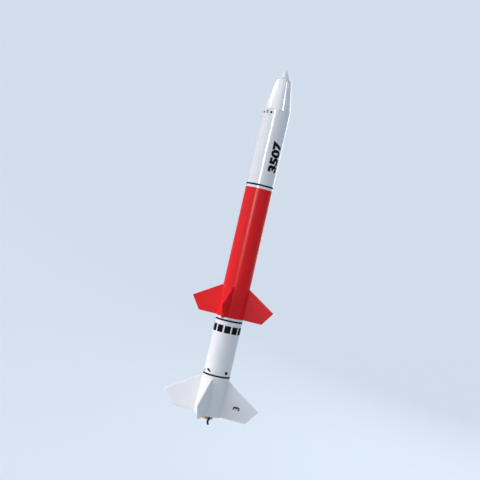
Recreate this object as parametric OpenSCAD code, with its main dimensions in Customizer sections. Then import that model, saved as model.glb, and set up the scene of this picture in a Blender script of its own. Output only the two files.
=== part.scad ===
// Model rocket: paper body tube, two rows of four balsa fins, plastic nose, motor mount with
// a spring hook, and a recovery bay with a folded parachute.
// The rocket stands on its tail: +Z runs up its axis to the nose, and z = 0 is the lowest
// point, the tip of the engine hook. Lengths are millimetres, angles are degrees about +Z.

/* [Body tube] */
// Outer diameter of the body tube
tube_od = 41.6; // [36:0.1:56]
// Wall thickness of the body tube
tube_wall = 0.55; // [0.4:0.05:1]
// Length of the body tube
tube_len = 475; // [450:1:640]
// Height of the red paint's lower edge above the tube's aft end
paint_start = 152.2; // [148:0.1:200]
// Length of the red paint
paint_len = 201.1; // [120:0.1:220]

/* [Nose] */
// Length of the long taper that stands on the tube
taper_len = 47.4; // [35:0.1:70]
// Diameter at which the long taper turns into the pointed tip
taper_end_d = 23.8; // [18:0.1:30]
// How far the taper's side bows outwards at its middle
taper_bow = 0.2; // [0:0.1:2]
// Length of the pointed tip
tip_len = 17.7; // [12:0.1:30]
// Height above the long taper at which the pointed tip turns steeper
tip_knee_z = 5; // [3:0.1:8]
// Diameter of the pointed tip there
tip_knee_d = 15.4; // [12:0.1:18]
// Radius of the rounded point
tip_r = 1.9; // [0.6:0.1:2.5]
// Wall thickness of the nose shell
nose_wall = 1.4; // [1:0.1:2]
// Depth of the socket inside the shell that takes the nose base's plug
socket_depth = 7; // [5:0.5:12]
// Length of the shoulder that slides into the body tube
shoulder_len = 24; // [18:0.5:30]
// Wall thickness of the nose base
base_wall = 1.3; // [1:0.1:2]
// Radial clearance between the shoulder and the tube's bore
shoulder_fit = 0.08; // [0.04:0.01:0.1]
// Seam left between the nose and the end of the tube
seat_gap = 0.1; // [0.05:0.05:0.3]
// Diameter of the eyelet's hole
eyelet_hole_d = 3.8; // [3.6:0.1:5]
// Radius of the eyelet's loop
eyelet_r = 4; // [3.6:0.1:6]
// Thickness of the eyelet
eyelet_t = 2.4; // [1.6:0.1:4]

/* [Fins] */
// Number of fins in each row
fin_count = 4; // [3:1:4]
// Thickness of the balsa sheet
fin_t = 2.4; // [1.6:0.1:3.2]
// Height of the upper fins' trailing edge above the tube's aft end
upper_fin_start = 152.2; // [150:0.1:220]
// Root chord of the upper fins, along the tube
upper_root = 48.1; // [40:0.1:70]
// Reach of the upper fins' outermost corner from the tube
upper_span = 44.3; // [30:0.1:60]
// Length of the upper fins' straight trailing edge
upper_tail = 29.9; // [18:0.1:30]
// Height of the upper fins' outermost corner above their trailing edge
upper_rise = 20.6; // [10:0.1:30]
// Root chord of the lower fins, along the tube
lower_root = 57.8; // [48:0.1:60]
// Reach of the lower fins' outermost corner from the tube
lower_span = 55.2; // [40:0.1:75]
// Length of the lower fins' straight trailing edge
lower_tail = 38.7; // [25:0.1:40]
// Height of the lower fins' outermost corner above their trailing edge
lower_rise = 22.6; // [12:0.1:32]

/* [Launch lug] */
// Bore of the launch lug, which runs on a 3.2 mm launch rod
lug_bore = 3.96; // [3.5:0.02:5]
// Wall thickness of the launch lug
lug_wall = 0.32; // [0.25:0.01:0.6]
// Length of the launch lug
lug_len = 60.3; // [40:0.1:61]
// Height of the lug's lower end above the tube's aft end
lug_start = 66; // [65:0.1:67]
// Direction of the lug round the tube
lug_angle = 135; // [110:1:160]

/* [Decals] */
// Thickness of the decal film
film_t = 0.1; // [0.05:0.01:0.2]
// Height of the middle of the lower ring above the tube's aft end
lower_ring_z = 62.3; // [61:0.1:64]
// Width of the lower and the upper ring
ring_w = 2.6; // [1:0.1:4]
// Height of the middle of the upper ring above the tube's aft end
upper_ring_z = 358.2; // [356:0.1:400]
// Height of the middle of the thin line under the upper fins
line_z = 147.6; // [145:0.1:149]
// Width of the thin line
line_w = 2.7; // [1:0.1:3.5]
// Height of the windows' lower edge above the tube's aft end
window_z = 128.7; // [127.8:0.1:132]
// Height of the windows
window_h = 11.1; // [6:0.1:12]
// Number of windows round the tube
window_count = 11; // [6:1:14]
// Width of a window round the tube, in degrees
window_deg = 26; // [10:0.5:30]
// Direction of the middle of the first window
window_angle = -74.5; // [-90:0.5:90]

/* [Motor] */
// Diameter of the motor casing
motor_d = 17.6; // [13:0.1:24]
// Length of the motor casing
motor_len = 70; // [50:0.5:80]
// How far the motor stands out of the tube's aft end
motor_out = 6.4; // [4:0.1:8]
// Wall thickness of the motor casing
casing_wall = 2.2; // [1.5:0.1:3]
// Length of the clay nozzle
nozzle_len = 12; // [8:0.5:16]
// Recess in front of the nozzle and of the end cap
casing_recess = 0.6; // [0.3:0.1:2]
// Diameter of the nozzle's throat
throat_d = 2.2; // [1.6:0.1:4]
// Diameter of the nozzle's mouth
mouth_d = 7; // [5:0.1:9]
// Length of the propellant grain
grain_len = 30; // [15:0.5:32]
// Length of the delay charge
delay_len = 12; // [5:0.5:12]
// Length of the ejection charge
charge_len = 8; // [4:0.5:8]
// Thickness of the paper end cap
cap_t = 1.6; // [0.8:0.1:2]

/* [Motor mount] */
// Radial clearance between the motor and the motor tube
motor_fit = 0.25; // [0.1:0.05:0.4]
// Wall thickness of the motor tube
motor_tube_wall = 0.33; // [0.25:0.01:1]
// How far the motor tube reaches past the motor's forward end
motor_tube_extra = 11.4; // [10:0.1:20]
// Thickness of a centering ring
ring_t = 1.6; // [0.8:0.1:3]
// Height of the aft centering ring above the tube's aft end
aft_ring_z = 6.5; // [4:0.1:9]
// Distance of the forward ring's top from the motor tube's forward end
forward_ring_inset = 4.4; // [3:0.1:5]
// Length of the thrust ring
thrust_len = 6; // [4:0.5:8]
// Wall thickness of the thrust ring
thrust_wall = 2.5; // [1.5:0.1:4]

/* [Engine hook] */
// How far the hook hangs below the tube's aft end
hook_drop = 14; // [12:0.5:20]
// Thickness of the hook's steel strip
hook_t = 0.8; // [0.6:0.05:1]
// Width of the hook's steel strip
hook_w = 3.2; // [2.5:0.1:4.5]
// Radius of the hook's bends along the middle of the strip
hook_bend = 0.8; // [0.5:0.1:1.2]
// How far the hook's catch reaches under the motor's edge
hook_bite = 1.8; // [1:0.1:2]
// Lean of the finger tab from the vertical
tab_lean = 45; // [20:1:60]
// Length of the straight stretch between the catch and the finger tab
tab_fall = 2.4; // [1.8:0.1:4]
// Gap between the hook and what it lies against
hook_gap = 0.15; // [0.1:0.05:0.3]
// Play between the motor's ends and the hook
motor_play = 0.4; // [0.3:0.05:0.6]
// Direction of the hook round the tube
hook_angle = -57; // [-70:1:-20]
// Largest angle by which the hook springs outwards
hook_flex = 2.5; // [1.5:0.1:3]
// Distance from the hook's forward tab down to the retainer band
band_drop = 14; // [8:0.5:30]
// Height of the retainer band
band_h = 6; // [4:0.5:12]
// Thickness of the retainer band
band_t = 0.35; // [0.2:0.05:0.6]

/* [Recovery] */
// Angle that the shock cord's mount covers round the bore
mount_deg = 40; // [25:1:60]
// Height of the shock cord's mount
mount_h = 26; // [18:0.5:40]
// Thickness of the folded paper mount
mount_t = 1.5; // [0.8:0.1:2]
// Direction of the mount and of the shock cord round the tube
cord_angle = 40; // [20:1:70]
// Width of the flat elastic shock cord
cord_w = 3; // [2:0.1:3.2]
// Thickness of the shock cord
cord_t = 0.9; // [0.6:0.1:1.2]
// Gap between the folded shock cord's layers
cord_layer_gap = 0.3; // [0.2:0.1:0.6]
// Number of layers in the folded shock cord
cord_layers = 16; // [8:2:20]
// Angle that a layer covers round the bore
cord_deg = 80; // [50:5:100]
// Clearance between the folded pieces and the tube's bore
stow_gap = 0.4; // [0.3:0.1:1]
// Length of the folded parachute
chute_len = 90; // [60:1:110]
// Distance from the eyelet down to the parachute
chute_drop = 14; // [10:0.5:24]
// Number of shroud lines
line_count = 6; // [4:1:8]
// Diameter of a shroud line
line_d = 0.8; // [0.5:0.1:1.2]
// Length of the recovery wadding
wadding_len = 34; // [20:1:50]
// Gap between the parachute and the wadding
wadding_gap = 4; // [2:0.5:8]

/* [Hidden] */
$fn = 96;
glue_gap = 0.02;
cut = 1;

// Tube and its ends
tube_r = tube_od / 2;
bore_r = tube_r - tube_wall;
tail_z = hook_drop;
mouth_z = tail_z + tube_len;
first_fin_angle = -90;

// Nose
nose_z = mouth_z + seat_gap;
taper_end_r = taper_end_d / 2;
taper_steps = 12;
tip_knee_r = tip_knee_d / 2;
tip_slope = atan2(tip_knee_r, tip_len - tip_knee_z);
shoulder_r = bore_r - shoulder_fit;
shoulder_lead = 2;
socket_ledge = 0.2;
socket_r = taper_radius(socket_depth / taper_len) - nose_wall - socket_ledge;
plug_r = socket_r - glue_gap;
eyelet_z = nose_z - shoulder_len - eyelet_r;

// Launch lug
lug_r = lug_bore / 2 + lug_wall;
lug_reach = tube_r + lug_r + glue_gap;

// Motor and its mount
motor_r = motor_d / 2;
motor_z = tail_z - motor_out;
charge_r = motor_r - casing_wall - glue_gap;
nozzle_z = motor_z + casing_recess;
grain_z = nozzle_z + nozzle_len + glue_gap;
delay_z = grain_z + grain_len + glue_gap;
charge_z = delay_z + delay_len + glue_gap;
cap_z = charge_z + charge_len + glue_gap;
motor_tube_bore = motor_r + motor_fit;
motor_tube_r = motor_tube_bore + motor_tube_wall;
motor_top = motor_z + motor_len;
motor_tube_top = motor_top + motor_tube_extra;

// Engine hook: the strip's middle line runs from its forward tab down to its finger tab
hook_r = motor_tube_r + hook_gap + hook_t / 2;
tab_z = motor_top + motor_play + hook_t / 2;
catch_z = motor_z - motor_play - hook_t / 2;
catch_r = motor_r - hook_bite;
tab_reach = motor_r - thrust_wall / 2;
finger_r = catch_r + hook_t / 2;
finger_z = catch_z - tab_fall;
tip_z = hook_t / 2 * sin(tab_lean);
slot_side = 0.3;
slot_ends = 0.35;
thrust_z = tab_z + hook_t / 2 + motor_play;
band_z = tab_z - band_drop - band_h;

// Recovery bay
stack_r = bore_r - stow_gap - cord_w;
layer_pitch = cord_t + cord_layer_gap;
stack_top = eyelet_z + cord_t / 2;
stack_z = stack_top - cord_layers * layer_pitch + cord_layer_gap;
fold_deg = 4;
mount_tail = 6;
mount_top = stack_z - mount_tail;
knot_d = 4.4;
knot_len = 3;
chute_r = stack_r - stow_gap;
chute_top = eyelet_z - eyelet_r - chute_drop;
chute_z = chute_top - chute_len;
chute_round = 6;
lines_top = eyelet_z - eyelet_r - stow_gap;
wadding_r = bore_r - glue_gap - mount_t - stow_gap;
wadding_z = chute_z - wadding_gap - wadding_len;
wadding_round = 3;

// Radius of the nose's long taper at a share t of its length
function taper_radius(t) =
    tube_r + (taper_end_r - tube_r) * t + 4 * taper_bow * t * (1 - t);

// A quarter round of radius r about a centre, from one angle to another
function arc(centre, r, from, to, steps = 6) =
    [for (i = [0:steps]) let (a = from + (to - from) * i / steps)
        centre + r * [cos(a), sin(a)]];

// How far the hook has moved outwards at a height, when it is sprung fully open
function hook_swing(z) = (tab_z - z) * tan(hook_flex);

// A path with each inner corner replaced by a curve that starts a distance r before it
function rounded(path, r, steps = 5) = let (last = len(path) - 1) concat(
    [path[0]],
    [for (i = [1:last - 1])
        let (corner = path[i],
             before = path[i - 1] - corner,
             after = path[i + 1] - corner,
             a = corner + r * before / norm(before),
             b = corner + r * after / norm(after))
        for (k = [0:steps]) let (s = k / steps)
            (1 - s) * (1 - s) * a + 2 * s * (1 - s) * corner + s * s * b],
    [path[last]]);

// The outline of a strip of thickness t along a path
function side_of(v) = [-v[1], v[0]] / norm(v);
function mitre(path, i, d) = let (
    last = len(path) - 1,
    before = side_of(path[max(i, 1)] - path[max(i, 1) - 1]),
    after = side_of(path[min(i + 1, last)] - path[min(i, last - 1)]))
    path[i] + d * (before + after) / (1 + before * after);
function strip_outline(path, t) = concat(
    [for (i = [0:len(path) - 1]) mitre(path, i, t / 2)],
    [for (i = [len(path) - 1:-1:0]) mitre(path, i, -t / 2)]);

module ring(r_in, r_out, h) {
    rotate_extrude() translate([r_in, 0]) square([r_out - r_in, h]);
}

module arc_block(r_in, depth, h, middle, deg) {
    rotate([0, 0, middle - deg / 2])
        rotate_extrude(angle = deg) translate([r_in, 0]) square([depth, h]);
}

module tube_section(from, to) {
    translate([0, 0, tail_z + from]) ring(bore_r, tube_r, to - from);
}

module body_tube() {
    paint_end = paint_start + paint_len;
    color("white") tube_section(0, paint_start);
    color("firebrick") tube_section(paint_start, paint_end);
    color("white") tube_section(paint_end, tube_len);
}

// A fin is a flat sheet: its root is cut to the tube's curve, its trailing edge is level,
// and its outer edge flares up to the swept leading edge.
module fin(i, start, root, span, tail, rise) {
    rotate([0, 0, first_fin_angle + (i - 1) * 360 / fin_count])
        translate([0, 0, tail_z + start])
            difference() {
                rotate([90, 0, 0])
                    linear_extrude(fin_t, center = true)
                        polygon([[tube_r - cut, 0], [tube_r + tail, 0],
                                 [tube_r + span, rise],
                                 [tube_r, root], [tube_r - cut, root]]);
                translate([0, 0, -cut])
                    cylinder(r = tube_r + glue_gap, h = root + 2 * cut);
            }
}

module upper_fin(i) {
    color("firebrick")
        fin(i, upper_fin_start, upper_root, upper_span, upper_tail, upper_rise);
}

module lower_fin(i) {
    color("white") fin(i, 0, lower_root, lower_span, lower_tail, lower_rise);
}

module launch_lug() {
    color("white")
        rotate([0, 0, lug_angle])
            translate([lug_reach, 0, tail_z + lug_start])
                difference() {
                    cylinder(r = lug_r, h = lug_len);
                    translate([0, 0, -cut]) cylinder(d = lug_bore, h = lug_len + 2 * cut);
                }
}

module decal_ring(middle, w) {
    color("black")
        translate([0, 0, tail_z + middle - w / 2])
            ring(tube_r + glue_gap, tube_r + glue_gap + film_t, w);
}

module upper_ring_decal() { decal_ring(upper_ring_z, ring_w); }
module thin_line_decal() { decal_ring(line_z, line_w); }
module lower_ring_decal() { decal_ring(lower_ring_z, ring_w); }

module window_belt_decal() {
    color("black")
        for (i = [0:window_count - 1])
            translate([0, 0, tail_z + window_z])
                arc_block(tube_r + glue_gap, film_t, window_h,
                          window_angle + i * 360 / window_count, window_deg);
}

// The slit lets the hook's forward tab through the motor tube
module motor_tube() {
    color("tan")
        difference() {
            translate([0, 0, tail_z]) ring(motor_tube_bore, motor_tube_r, motor_tube_top - tail_z);
            rotate([0, 0, hook_angle])
                translate([motor_tube_bore - cut, -hook_w / 2 - slot_side,
                           tab_z - hook_t / 2 - slot_ends])
                    cube([motor_tube_wall + 2 * cut, hook_w + 2 * slot_side,
                          hook_t + 2 * slot_ends]);
        }
}

module centering_ring() {
    ring(motor_tube_r + glue_gap, bore_r - glue_gap, ring_t);
}

module forward_centering_ring() {
    color("peru")
        translate([0, 0, motor_tube_top - forward_ring_inset - ring_t]) centering_ring();
}

// The notch leaves room for the hook to spring outwards
module aft_centering_ring() {
    z = tail_z + aft_ring_z;
    notch_r = hook_r + hook_t / 2 + hook_swing(z) + slot_ends;
    color("peru")
        translate([0, 0, z])
            difference() {
                centering_ring();
                rotate([0, 0, hook_angle])
                    translate([0, -hook_w / 2 - slot_side, -cut])
                        cube([notch_r, hook_w + 2 * slot_side, ring_t + 2 * cut]);
            }
}

module thrust_ring() {
    color("saddlebrown")
        translate([0, 0, thrust_z])
            ring(motor_tube_bore - thrust_wall, motor_tube_bore - glue_gap, thrust_len);
}

// A band round the motor tube, with a tunnel in which the hook can move
module hook_retainer_band() {
    tunnel_r = hook_r + hook_t / 2 + hook_swing(band_z) + hook_gap;
    tunnel_w = hook_w + 2 * slot_side;
    color("dimgray")
        translate([0, 0, band_z])
            rotate([0, 0, hook_angle])
                linear_extrude(band_h)
                    difference() {
                        union() {
                            circle(r = motor_tube_r + glue_gap + band_t);
                            translate([0, -tunnel_w / 2 - band_t])
                                square([tunnel_r + band_t, tunnel_w + 2 * band_t]);
                        }
                        circle(r = motor_tube_r + glue_gap);
                        translate([0, -tunnel_w / 2]) square([tunnel_r, tunnel_w]);
                    }
}

// A spring strip: the forward tab enters the motor tube above the motor, the catch turns
// in under the motor's edge, and the finger tab leans out below it down to z = 0.
module engine_hook() {
    path = [[tab_reach, tab_z], [hook_r, tab_z], [hook_r, catch_z],
            [finger_r, catch_z], [finger_r, finger_z],
            [finger_r + (finger_z - tip_z) * tan(tab_lean), tip_z]];
    color([0.1, 0.1, 0.11])
        rotate([0, 0, hook_angle])
            rotate([90, 0, 0])
                linear_extrude(hook_w, center = true)
                    polygon(strip_outline(rounded(path, hook_bend), hook_t));
}

module motor_casing() {
    color("burlywood")
        translate([0, 0, motor_z]) ring(charge_r + glue_gap, motor_r, motor_len);
}

// The nozzle's mouth narrows to a straight throat
module motor_nozzle() {
    cone_len = nozzle_len * 0.6;
    color("gray")
        translate([0, 0, nozzle_z])
            rotate_extrude()
                polygon([[mouth_d / 2, 0], [charge_r, 0], [charge_r, nozzle_len],
                         [throat_d / 2, nozzle_len], [throat_d / 2, cone_len]]);
}

module charge(z, h) {
    translate([0, 0, z]) cylinder(r = charge_r, h = h);
}

module propellant_grain() { color([0.2, 0.2, 0.2]) charge(grain_z, grain_len); }
module delay_charge() { color([0.35, 0.33, 0.3]) charge(delay_z, delay_len); }
module ejection_charge() { color([0.25, 0.25, 0.28]) charge(charge_z, charge_len); }
module motor_end_cap() { color("beige") charge(cap_z, cap_t); }

module shock_cord_mount() {
    color("ivory")
        translate([0, 0, mount_top - mount_h])
            arc_block(bore_r - glue_gap - mount_t, mount_t, mount_h, cord_angle, mount_deg);
}

// The elastic comes out of its mount, lies folded to and fro against the bore in layers,
// and ends in a knot behind the nose's eyelet. The folds are a little slimmer than the
// layers that they join.
module shock_cord() {
    slim = cord_t / 12;
    color("whitesmoke") {
        for (i = [0:cord_layers - 1])
            translate([0, 0, stack_z + i * layer_pitch])
                arc_block(stack_r, cord_w, cord_t, cord_angle, cord_deg);
        for (i = [0:cord_layers - 2])
            translate([0, 0, stack_z + i * layer_pitch + cord_t / 2])
                arc_block(stack_r + slim, cord_w - 2 * slim, layer_pitch,
                          cord_angle + (i % 2 == 0 ? 1 : -1) * (cord_deg / 2 - fold_deg),
                          fold_deg);
        translate([0, 0, mount_top + glue_gap])
            arc_block(stack_r + cord_w - cord_t - slim, cord_t,
                      stack_z + cord_t / 2 - mount_top - glue_gap, cord_angle, fold_deg);
        rotate([0, 0, cord_angle]) {
            translate([-eyelet_t, -cord_w / 2, stack_top - cord_t + slim])
                cube([eyelet_t + stack_r + cord_w / 2, cord_w, cord_t - 2 * slim]);
            translate([-eyelet_t / 2 - glue_gap - knot_len, -knot_d / 2, eyelet_z - knot_d / 2])
                cube([knot_len, knot_d, knot_d]);
        }
    }
}

module recovery_wadding() {
    color("wheat")
        translate([0, 0, wadding_z])
            rotate_extrude()
                polygon(concat([[0, 0]],
                    arc([wadding_r - wadding_round, wadding_round], wadding_round, -90, 0),
                    arc([wadding_r - wadding_round, wadding_len - wadding_round],
                        wadding_round, 0, 90),
                    [[0, wadding_len]]));
}

module parachute_canopy() {
    color("orange")
        translate([0, 0, chute_z])
            rotate_extrude()
                polygon(concat([[0, 0]],
                    arc([chute_r - chute_round, chute_round], chute_round, -90, 0),
                    arc([chute_r - chute_round, chute_len - chute_round],
                        chute_round, 0, 90),
                    [[0, chute_len]]));
}

// The lines gather from the canopy into a knot under the eyelet
module shroud_lines() {
    knot_r = 1.8;
    foot_r = chute_r / 3;
    rise = lines_top - knot_r - chute_top - glue_gap;
    color("white") {
        for (i = [0:line_count - 1])
            rotate([0, 0, i * 360 / line_count])
                translate([foot_r, 0, chute_top + glue_gap + line_d / 2])
                    rotate([0, -atan2(foot_r, rise - line_d / 2), 0])
                        cylinder(d = line_d, h = norm([foot_r, rise - line_d / 2]));
        translate([0, 0, lines_top - knot_r]) sphere(r = knot_r);
    }
}

// Shoulder and plug are one moulding, closed below, with the eyelet under the floor
module nose_base() {
    color("white")
        translate([0, 0, nose_z]) {
            rotate_extrude()
                polygon([[0, -shoulder_len],
                         [shoulder_r - shoulder_lead / 2, -shoulder_len],
                         [shoulder_r, -shoulder_len + shoulder_lead],
                         [shoulder_r, -glue_gap],
                         [plug_r, -glue_gap],
                         [plug_r, socket_depth - glue_gap],
                         [plug_r - base_wall, socket_depth - glue_gap],
                         [plug_r - base_wall, -shoulder_len + base_wall],
                         [0, -shoulder_len + base_wall]]);
            rotate([0, 0, cord_angle])
                difference() {
                    rotate([90, 0, 90])
                        linear_extrude(eyelet_t, center = true)
                            polygon([[-eyelet_r * 1.4, base_wall / 2 - shoulder_len],
                                     [eyelet_r * 1.4, base_wall / 2 - shoulder_len],
                                     [eyelet_r * 1.1, -shoulder_len - eyelet_r * 0.5],
                                     [eyelet_r * 0.7, -shoulder_len - eyelet_r * 1.7],
                                     [0, -shoulder_len - eyelet_r * 2],
                                     [-eyelet_r * 0.7, -shoulder_len - eyelet_r * 1.7],
                                     [-eyelet_r * 1.1, -shoulder_len - eyelet_r * 0.5]]);
                    translate([0, 0, -shoulder_len - eyelet_r])
                        rotate([0, 90, 0])
                            cylinder(d = eyelet_hole_d, h = eyelet_t + 2 * cut, center = true);
                }
        }
}

// A hollow shell: a long bowed taper, then a pointed tip in two slopes with a rounded end
module nose_cone() {
    nose_len = taper_len + tip_len;
    taper = [for (i = [0:taper_steps]) let (t = i / taper_steps)
        [taper_radius(t), t * taper_len]];
    point = concat([[tip_knee_r, taper_len + tip_knee_z]],
                   arc([0, nose_len - tip_r], tip_r, tip_slope, 90));
    inner_start = socket_depth / taper_len;
    inner = [for (i = [taper_steps:-1:0])
        let (t = inner_start + (1 - inner_start) * i / taper_steps)
        [taper_radius(t) - nose_wall, t * taper_len]];
    color("white")
        translate([0, 0, nose_z])
            rotate_extrude()
                polygon(concat([[socket_r, 0]], taper, point,
                               [[0, taper_len + tip_len / 2]],
                               inner, [[socket_r, socket_depth]]));
}

body_tube();
for (i = [1:fin_count]) {
    upper_fin(i);
    lower_fin(i);
}
launch_lug();
upper_ring_decal();
thin_line_decal();
window_belt_decal();
lower_ring_decal();
motor_tube();
forward_centering_ring();
aft_centering_ring();
thrust_ring();
hook_retainer_band();
engine_hook();
motor_casing();
motor_nozzle();
propellant_grain();
delay_charge();
ejection_charge();
motor_end_cap();
shock_cord_mount();
shock_cord();
recovery_wadding();
parachute_canopy();
shroud_lines();
nose_base();
nose_cone();
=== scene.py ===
import math

import bmesh
import bpy
import numpy as np
from mathutils import Matrix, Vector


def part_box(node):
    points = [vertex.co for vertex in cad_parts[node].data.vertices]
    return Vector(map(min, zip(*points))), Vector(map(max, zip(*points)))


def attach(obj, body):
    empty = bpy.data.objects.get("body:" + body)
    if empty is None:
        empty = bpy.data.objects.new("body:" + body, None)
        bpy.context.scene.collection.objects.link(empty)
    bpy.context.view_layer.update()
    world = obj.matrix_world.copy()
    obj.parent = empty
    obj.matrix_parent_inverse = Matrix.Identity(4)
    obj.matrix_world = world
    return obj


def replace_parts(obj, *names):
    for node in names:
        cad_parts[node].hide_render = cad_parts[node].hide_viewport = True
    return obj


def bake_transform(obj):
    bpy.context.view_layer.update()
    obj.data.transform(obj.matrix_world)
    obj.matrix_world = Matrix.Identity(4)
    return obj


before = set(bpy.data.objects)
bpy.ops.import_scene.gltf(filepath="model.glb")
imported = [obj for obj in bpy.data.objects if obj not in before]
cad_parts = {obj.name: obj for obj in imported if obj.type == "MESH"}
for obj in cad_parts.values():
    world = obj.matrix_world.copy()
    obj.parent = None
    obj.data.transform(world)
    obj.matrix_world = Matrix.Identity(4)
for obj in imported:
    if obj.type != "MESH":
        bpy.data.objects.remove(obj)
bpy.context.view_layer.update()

# ---------------------------------------------------------------------------------------
# Backdrop: a seamless bowl of pale matt board, flat below and curved up into its wall.
# It glows a little, as a large lit studio wall does, and that is the fill light.
# ---------------------------------------------------------------------------------------


class Tap:
    """One output of a node. Arithmetic on it adds the Math nodes that do the sum."""

    def __init__(self, finish, socket):
        self.finish, self.socket = finish, socket

    def sum(self, operation, *terms):
        return self.finish.sum(operation, *terms)

    def __add__(self, other): return self.sum("ADD", self, other)
    def __radd__(self, other): return self.sum("ADD", other, self)
    def __sub__(self, other): return self.sum("SUBTRACT", self, other)
    def __rsub__(self, other): return self.sum("SUBTRACT", other, self)
    def __mul__(self, other): return self.sum("MULTIPLY", self, other)
    def __rmul__(self, other): return self.sum("MULTIPLY", other, self)
    def __truediv__(self, other): return self.sum("DIVIDE", self, other)
    def __mod__(self, other): return self.sum("FLOORED_MODULO", self, other)
    def __abs__(self): return self.sum("ABSOLUTE", self)


class Finish:
    """A material in the making, with the piece's own coordinates in metres as x, y and z."""

    def __init__(self, name):
        self.material = bpy.data.materials.new(name)
        self.material.use_nodes = True
        self.tree = self.material.node_tree
        self.tree.nodes.clear()
        self.place = self.node("TexCoord", out="Object")
        self.x, self.y, self.z = (
            self.node("SeparateXYZ", {}, {0: self.place}, out=axis) for axis in "XYZ")

    def node(self, kind, settings={}, sockets={}, out=0):
        """A new node of a kind: its settings first, then values or links for its sockets."""
        made = self.tree.nodes.new("ShaderNode" + kind)
        for key, value in settings.items():
            setattr(made, key, value)
        for key, value in sockets.items():
            if isinstance(value, Tap):
                self.tree.links.new(value.socket, made.inputs[key])
            else:
                made.inputs[key].default_value = value
        return Tap(self, made.outputs[out]) if made.outputs else None

    def sum(self, operation, *terms):
        """A Math node on taps and numbers."""
        return self.node("Math", {"operation": operation}, dict(enumerate(terms)))

    def kept(self, name):
        """A number that the mesh keeps for each of its points, under its name."""
        return self.node("Attribute", {"attribute_name": name}, out="Fac")

    def tint(self, plain, other, share):
        """Between two colours: plain at share 0, other at share 1."""
        plain, other = ((*c, 1) if isinstance(c, tuple) and len(c) == 3 else c
                        for c in (plain, other))
        return self.node("Mix", {"data_type": "RGBA"}, {0: share, 6: plain, 7: other}, out=2)

    def step(self, value, start, end):
        """0 where value is below start, 1 above end, and a smooth rise between them."""
        return self.node("MapRange", {"interpolation_type": "SMOOTHSTEP"},
                         {0: value, 1: start, 2: end, 3: 0.0, 4: 1.0})

    def wave(self, angle):
        """The sine of an angle, brought into 0 to 1."""
        return self.sum("SINE", angle) * 0.5 + 0.5

    def noise(self, size, detail=2.0, stretch=(1, 1, 1), rough=0.5):
        """Cloudy noise whose blots are about `size` metres, pulled out by `stretch`."""
        where = self.node("Mapping", {}, {0: self.place, 3: tuple(1 / s for s in stretch)})
        return self.node("TexNoise", {}, {"Vector": where, "Scale": 1 / size,
                                          "Detail": detail, "Roughness": rough})

    def coating(self, colour, roughness, relief=None, height=1e-4, **constants):
        """A shader: its colour and roughness, and a relief `height` metres deep."""
        sockets = {"Base Color": (*colour, 1) if isinstance(colour, tuple) else colour,
                   "Roughness": roughness}
        if relief is not None:
            sockets["Normal"] = self.node("Bump", {}, {"Height": relief, "Strength": 1.0,
                                                       "Distance": height})
        sockets.update({key.replace("_", " "): value for key, value in constants.items()})
        return self.node("BsdfPrincipled", {}, sockets)

    def finished(self, shader):
        """Ends the material with a shader."""
        self.node("OutputMaterial", {}, {"Surface": shader}, out=None)
        return self.material

    def surface(self, *looks, **constants):
        """Ends the material with one coating all over."""
        return self.finished(self.coating(*looks, **constants))


def quads_between(rows, cols, wrap_rows):
    """Corner numbers of the quads between neighbours on a rows x cols grid of points that
    is numbered row by row. Each row is a loop, and wrapped rows join the last to the first."""
    i = np.arange(rows if wrap_rows else rows - 1)[:, None] * cols
    j = np.arange(cols)[None, :]
    below, beside = (i + cols) % (rows * cols), (j + 1) % cols
    return np.stack([i + j, i + beside, below + beside, below + j], -1).reshape(-1, 4)


def shell(grid, wrap_rows=False):
    """A grid of points (rows, cols, 3) with its quads. Where they close on themselves, the
    sum of their signed volumes says which way they face, and they are turned outwards."""
    quads = quads_between(*grid.shape[:2], wrap_rows)
    points = grid.reshape(-1, 3)
    a, b, c, d = (points[quads[:, k]] for k in range(4))
    volume = (np.cross(a, b) * c + np.cross(a, c) * d).sum()
    return points, quads if volume > 0 else quads[:, ::-1]


def placed(name, data):
    """An object in the scene that shows a mesh, a curve, a lens or a light."""
    thing = bpy.data.objects.new(name, data)
    bpy.context.scene.collection.objects.link(thing)
    return thing


def weld(mesh, distance, cuts=()):
    """Joins the points of a mesh that lie together, then cuts its faces along lines of y."""
    work = bmesh.new()
    work.from_mesh(mesh)
    bmesh.ops.remove_doubles(work, verts=work.verts, dist=distance)
    for cut in cuts:
        bmesh.ops.bisect_plane(work, geom=work.verts[:] + work.edges[:] + work.faces[:],
                               plane_co=(0, float(cut), 0), plane_no=(0, 1, 0), dist=1e-7)
    work.to_mesh(mesh)
    work.free()


def made(name, shells, material, crease=38, **values):
    """A mesh piece from shells. Points that lie together at a pole or seam become one, and
    faces shade smoothly except across edges sharper than `crease` degrees. Each of `values`
    is a number for every point, kept in the mesh under its name."""
    starts = np.cumsum([0] + [len(points) for points, _ in shells])
    mesh = bpy.data.meshes.new(name)
    mesh.from_pydata(np.concatenate([points for points, _ in shells]).tolist(), [],
                     np.concatenate([quads + start for (_, quads), start
                                     in zip(shells, starts)]).tolist())
    for key, numbers in values.items():
        mesh.attributes.new(key, "FLOAT", "POINT").data.foreach_set(
            "value", numbers.astype(np.float32))
    weld(mesh, 2e-7)
    mesh.shade_smooth()
    mesh.set_sharp_from_angle(angle=math.radians(crease))
    mesh.materials.append(material)
    return placed(name, mesh)


def spun(r, turn, z):
    """Points at radius r, angle turn and height z: x = r cos a, y = r sin a."""
    return np.stack(np.broadcast_arrays(r * np.cos(turn), r * np.sin(turn), z), -1)


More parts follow.
